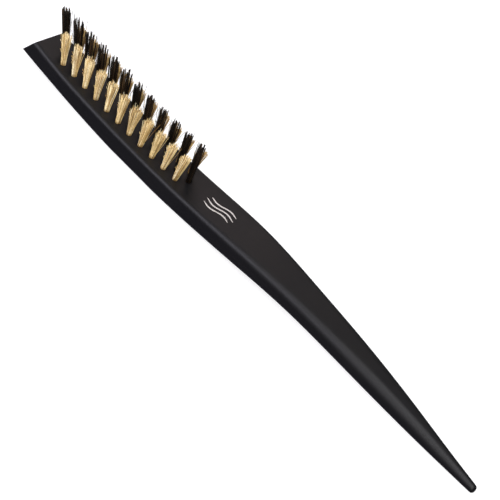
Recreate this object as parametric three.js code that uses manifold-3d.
// A narrow dressing brush: a slim one-piece body that swells from a flat brush head through a
// broad throat into a long pointed tail, with three rows of bristle tufts set in drilled holes.
// Millimetres, +Z up. The nose points to -X, the tail to +X, and the bristles point up.
// The brush lies on its back: the middle of the head and the low point of the tail touch z = 0.
import * as THREE from 'three';
import { mergeVertices } from 'three/addons/utils/BufferGeometryUtils.js';
import Module from 'manifold-3d';

const wasm = await Module();
wasm.setup();

// ---- driving dimensions -------------------------------------------------------------------

const LENGTH = 220;

// The body's cross-section at stations along its length. Each section is a rectangle with two
// corner radii, and it turns into a circle at the tail.
const STATIONS = [
  { at: 0, halfWidth: 6.3, underside: 3.6, top: 10.1, topRadius: 1.5, bottomRadius: 0.6 },
  { at: 25, halfWidth: 8.05, underside: 1.75, top: 9.45, topRadius: 1.5, bottomRadius: 2.6 },
  { at: 55, halfWidth: 8.05, underside: -0.15, top: 8.35, topRadius: 1.35, bottomRadius: 3.0 },
  { at: 85, halfWidth: 8.3, underside: 0.7, top: 9.15, topRadius: 1.6, bottomRadius: 3.4 },
  { at: 110, halfWidth: 8.25, underside: 2.55, top: 10.9, topRadius: 2.1, bottomRadius: 3.8 },
  { at: 135, halfWidth: 6.85, underside: 3.3, top: 11.0, topRadius: 2.6, bottomRadius: 3.8 },
  { at: 160, halfWidth: 5.6, underside: 2.1, top: 9.95, topRadius: 3.1, bottomRadius: 3.9 },
  { at: 185, halfWidth: 4.1, underside: 0.55, top: 7.7, topRadius: 3.2, bottomRadius: 3.6 },
  { at: 207, halfWidth: 2.35, underside: -0.03, top: 4.65, topRadius: 2.25, bottomRadius: 2.3 },
  { at: 220, halfWidth: 1.3, underside: 0.05, top: 2.8, topRadius: 1.3, bottomRadius: 1.3 },
];

const NOSE_SET_BACK = 4.4; // how far the nose's top edge lies behind its bottom edge
const NOSE_SET_BACK_FADE = 22; // the slant of the sections dies out over this length
const NOSE_CORNER = 0.2; // plan radius of the nose's two side corners
const TAIL_ROUNDING = 0.9; // edge radius of the blunt tail tip
const ROUNDEST = 0.97; // largest corner radius, as a share of what the section has room for

const TUFT_PITCH = 5.94;
const HEAD_MIDDLE = 46.4; // distance from the nose to the middle of the bristle field
const ROW_OFFSET = 3.4; // side rows from the centre line

const HOLE_RADIUS = 1.0;
const HOLE_DEPTH = 4.6;
const DRILL_POINT = 0.5; // extra depth of the hole's cone
const HOLE_OVERRUN = 3; // how far the drill's body reaches above the face
const TUFT_GAP = 0.3; // clearance between a tuft and its hole
const TIP_FLAT = 0.6; // the flat part of a tuft's tip, as a share of its radius

// Rows of tufts. A row fans out along the brush: its end tufts lean by the fan angle on top of
// the row's own lean, and a negative lean points to the nose. The tips are trimmed at a height
// above the face, so a tuft that leans is a little longer.
const SIDE_ROW = { count: 11, height: 11.2, tipRadius: 1.65, fan: 9.7, lean: 0 };
const MIDDLE_ROW = { count: 12, height: 16.45, tipRadius: 1.35, fan: 10.3, lean: -5.6 };

const CORNER_STEPS = 4; // straight edges in each corner arc of a section
const RING_SPACING = 4; // distance between sections on the even part of the body
const END_RINGS = 3; // extra sections that round each end
const TUFT_SIDES = 10;
const HOLE_SIDES = 12;

// ---- materials ----------------------------------------------------------------------------

const SOFT_BLACK = { name: 'soft_black', color: 0x232224, roughness: 0.5, metalness: 0 };
const BLONDE_BRISTLE = { name: 'blonde_bristle', color: 0xd9bd84, roughness: 0.55, metalness: 0 };
const BLACK_BRISTLE = { name: 'black_bristle', color: 0x17120f, roughness: 0.45, metalness: 0 };

// ---- helpers ------------------------------------------------------------------------------

// A natural cubic spline through (xs, ys), returned as a function of x.
function naturalSpline(xs, ys) {
  const last = xs.length - 1;
  const gap = (i) => xs[i + 1] - xs[i];
  const slope = (i) => (ys[i + 1] - ys[i]) / gap(i);
  const ratio = [0];
  const carried = [0];
  for (let i = 1; i < last; i += 1) {
    const pivot = 2 * (xs[i + 1] - xs[i - 1]) - gap(i - 1) * ratio[i - 1];
    ratio[i] = gap(i) / pivot;
    carried[i] = (6 * (slope(i) - slope(i - 1)) - gap(i - 1) * carried[i - 1]) / pivot;
  }
  const bend = new Array(last + 1).fill(0); // second derivative at each station
  for (let i = last - 1; i > 0; i -= 1) {
    bend[i] = carried[i] - ratio[i] * bend[i + 1];
  }
  return (x) => {
    let i = 0;
    while (i < last - 1 && x > xs[i + 1]) {
      i += 1;
    }
    const a = (xs[i + 1] - x) / gap(i);
    const b = 1 - a;
    const curve = ((a ** 3 - a) * bend[i] + (b ** 3 - b) * bend[i + 1]) * gap(i) ** 2;
    return a * ys[i] + b * ys[i + 1] + curve / 6;
  };
}

function columnSpline(key) {
  return naturalSpline(
    STATIONS.map((station) => station.at),
    STATIONS.map((station) => station[key]),
  );
}

const profile = {
  halfWidth: columnSpline('halfWidth'),
  underside: columnSpline('underside'),
  top: columnSpline('top'),
  topRadius: columnSpline('topRadius'),
  bottomRadius: columnSpline('bottomRadius'),
};

// How far a rounded edge of this radius has drawn in, at a distance from the end.
function edgeInset(distance, radius) {
  const inside = Math.max(0, radius - distance);
  return radius - Math.sqrt(radius ** 2 - inside ** 2);
}

function toSolid(geometry) {
  const bare = geometry.clone();
  bare.deleteAttribute('normal');
  bare.deleteAttribute('uv');
  const merged = mergeVertices(bare, 1e-4);
  return new wasm.Manifold(
    new wasm.Mesh({
      numProp: 3,
      vertProperties: new Float32Array(merged.attributes.position.array),
      triVerts: new Uint32Array(merged.index.array),
    }),
  );
}

function fromSolid(solid) {
  const mesh = solid.getMesh();
  const geometry = new THREE.BufferGeometry();
  geometry.setAttribute('position', new THREE.BufferAttribute(mesh.vertProperties, 3));
  geometry.setIndex(new THREE.BufferAttribute(mesh.triVerts, 1));
  geometry.computeVertexNormals();
  return geometry;
}

// A solid of revolution about +Z from a profile of [radius, height] points, both ends on the axis.
function turned(outline, sides) {
  const points = outline.map(([radius, height]) => new THREE.Vector2(radius, height));
  return new THREE.LatheGeometry(points, sides).rotateX(Math.PI / 2);
}

function named(name, geometry, look) {
  const mesh = new THREE.Mesh(geometry, new THREE.MeshStandardMaterial(look));
  mesh.name = name;
  return mesh;
}

// ---- body ---------------------------------------------------------------------------------

// The section at a distance from the nose, with both ends rounded.
function sectionAt(at) {
  const noseInset = edgeInset(at, NOSE_CORNER);
  const tailInset = edgeInset(LENGTH - at, TAIL_ROUNDING);
  const halfWidth = profile.halfWidth(at) - noseInset - tailInset;
  const underside = Math.max(0, profile.underside(at)) + tailInset;
  const top = profile.top(at) - tailInset;
  const room = Math.min(halfWidth, (top - underside) / 2) * ROUNDEST;
  const topRadius = Math.min(profile.topRadius(at), room);
  const bottomRoom = Math.min(halfWidth, top - underside - topRadius) * ROUNDEST;
  const bottomRadius = Math.min(profile.bottomRadius(at), bottomRoom);
  return { halfWidth, underside, top, topRadius, bottomRadius };
}

// The section's outline as [y, z] points, anticlockwise seen from the tail.
function sectionOutline(section) {
  const { halfWidth, underside, top, topRadius, bottomRadius } = section;
  const corners = [
    { y: halfWidth - topRadius, z: top - topRadius, radius: topRadius },
    { y: topRadius - halfWidth, z: top - topRadius, radius: topRadius },
    { y: bottomRadius - halfWidth, z: underside + bottomRadius, radius: bottomRadius },
    { y: halfWidth - bottomRadius, z: underside + bottomRadius, radius: bottomRadius },
  ];
  return corners.flatMap((corner, quarter) =>
    Array.from({ length: CORNER_STEPS + 1 }, (_, step) => {
      const turn = (quarter + step / CORNER_STEPS) * (Math.PI / 2);
      return [corner.y + corner.radius * Math.cos(turn), corner.z + corner.radius * Math.sin(turn)];
    }),
  );
}

// Distances from the nose at which the body has a section, closer together at both ends.
function ringPositions() {
  const nose = [];
  const tail = [];
  for (let step = 0; step < END_RINGS; step += 1) {
    const bend = 1 - Math.cos((step / END_RINGS) * (Math.PI / 2));
    nose.push(NOSE_CORNER * bend);
    tail.unshift(LENGTH - TAIL_ROUNDING * bend);
  }
  const start = NOSE_CORNER;
  const end = LENGTH - TAIL_ROUNDING;
  const spans = Math.round((end - start) / RING_SPACING);
  const even = Array.from({ length: spans + 1 }, (_, i) => start + ((end - start) * i) / spans);
  return [...nose, ...even, ...tail];
}

// The nose is cut on a slant: near it each section leans back towards its top edge.
function slantAt(at, share) {
  const fade = Math.max(0, 1 - at / NOSE_SET_BACK_FADE);
  return NOSE_SET_BACK * share * fade;
}

function bodyShell() {
  const positions = ringPositions();
  const vertices = [];
  positions.forEach((at) => {
    const section = sectionAt(at);
    const height = section.top - section.underside;
    sectionOutline(section).forEach(([y, z]) => {
      const share = (z - section.underside) / height;
      vertices.push(at + slantAt(at, share) - LENGTH / 2, y, z);
    });
  });
  const perRing = 4 * (CORNER_STEPS + 1);
  const indices = [];
  for (let ring = 0; ring < positions.length - 1; ring += 1) {
    for (let i = 0; i < perRing; i += 1) {
      const here = ring * perRing + i;
      const next = ring * perRing + ((i + 1) % perRing);
      indices.push(here, next, next + perRing, here, next + perRing, here + perRing);
    }
  }
  const lastRing = (positions.length - 1) * perRing;
  for (let i = 1; i < perRing - 1; i += 1) {
    indices.push(0, i + 1, i);
    indices.push(lastRing, lastRing + i, lastRing + i + 1);
  }
  const geometry = new THREE.BufferGeometry();
  geometry.setAttribute('position', new THREE.Float32BufferAttribute(vertices, 3));
  geometry.setIndex(indices);
  return geometry;
}

// ---- tufts --------------------------------------------------------------------------------

// Where each tuft of a row leaves the face, and its lean in radians.
function tuftPlaces(row, y) {
  const middle = (row.count - 1) / 2;
  return Array.from({ length: row.count }, (_, i) => {
    const at = HEAD_MIDDLE + (i - middle) * TUFT_PITCH;
    const lean = THREE.MathUtils.degToRad(row.lean + (row.fan * (i - middle)) / middle);
    return { position: new THREE.Vector3(at - LENGTH / 2, y, profile.top(at)), lean };
  });
}

function drillAt(place) {
  const drill = turned(
    [
      [0, -HOLE_DEPTH - DRILL_POINT],
      [HOLE_RADIUS, -HOLE_DEPTH],
      [HOLE_RADIUS, HOLE_OVERRUN],
      [0, HOLE_OVERRUN],
    ],
    HOLE_SIDES,
  );
  drill.rotateY(place.lean);
  return drill.translate(place.position.x, place.position.y, place.position.z);
}

// A tuft is a round plug in its hole that spreads towards a slightly domed tip.
function tuftGeometry(row, lean) {
  const root = HOLE_RADIUS - TUFT_GAP;
  const length = row.height / Math.cos(lean);
  const dome = row.tipRadius / 4;
  return turned(
    [
      [0, -HOLE_DEPTH],
      [root, -HOLE_DEPTH + DRILL_POINT],
      [root, TUFT_GAP],
      [row.tipRadius, length - dome],
      [row.tipRadius * TIP_FLAT, length],
      [0, length],
    ],
    TUFT_SIDES,
  );
}

function tuftRow(prefix, row, y, look) {
  return tuftPlaces(row, y).map((place, i) => {
    const number = String(i + 1).padStart(2, '0');
    const tuft = named(`${prefix}_${number}`, tuftGeometry(row, place.lean), look);
    tuft.position.copy(place.position);
    tuft.rotation.y = place.lean;
    return tuft;
  });
}

function handleBody() {
  const places = [
    ...tuftPlaces(SIDE_ROW, -ROW_OFFSET),
    ...tuftPlaces(MIDDLE_ROW, 0),
    ...tuftPlaces(SIDE_ROW, ROW_OFFSET),
  ];
  const drilled = places.reduce(
    (body, place) => body.subtract(toSolid(drillAt(place))),
    toSolid(bodyShell()),
  );
  return named('handle_body', fromSolid(drilled), SOFT_BLACK);
}

// ---- assembly -----------------------------------------------------------------------------

const brush = new THREE.Group();
brush.add(handleBody());
brush.add(...tuftRow('tuft_front', SIDE_ROW, -ROW_OFFSET, BLONDE_BRISTLE));
brush.add(...tuftRow('tuft_middle', MIDDLE_ROW, 0, BLACK_BRISTLE));
brush.add(...tuftRow('tuft_rear', SIDE_ROW, ROW_OFFSET, BLONDE_BRISTLE));

export default brush;
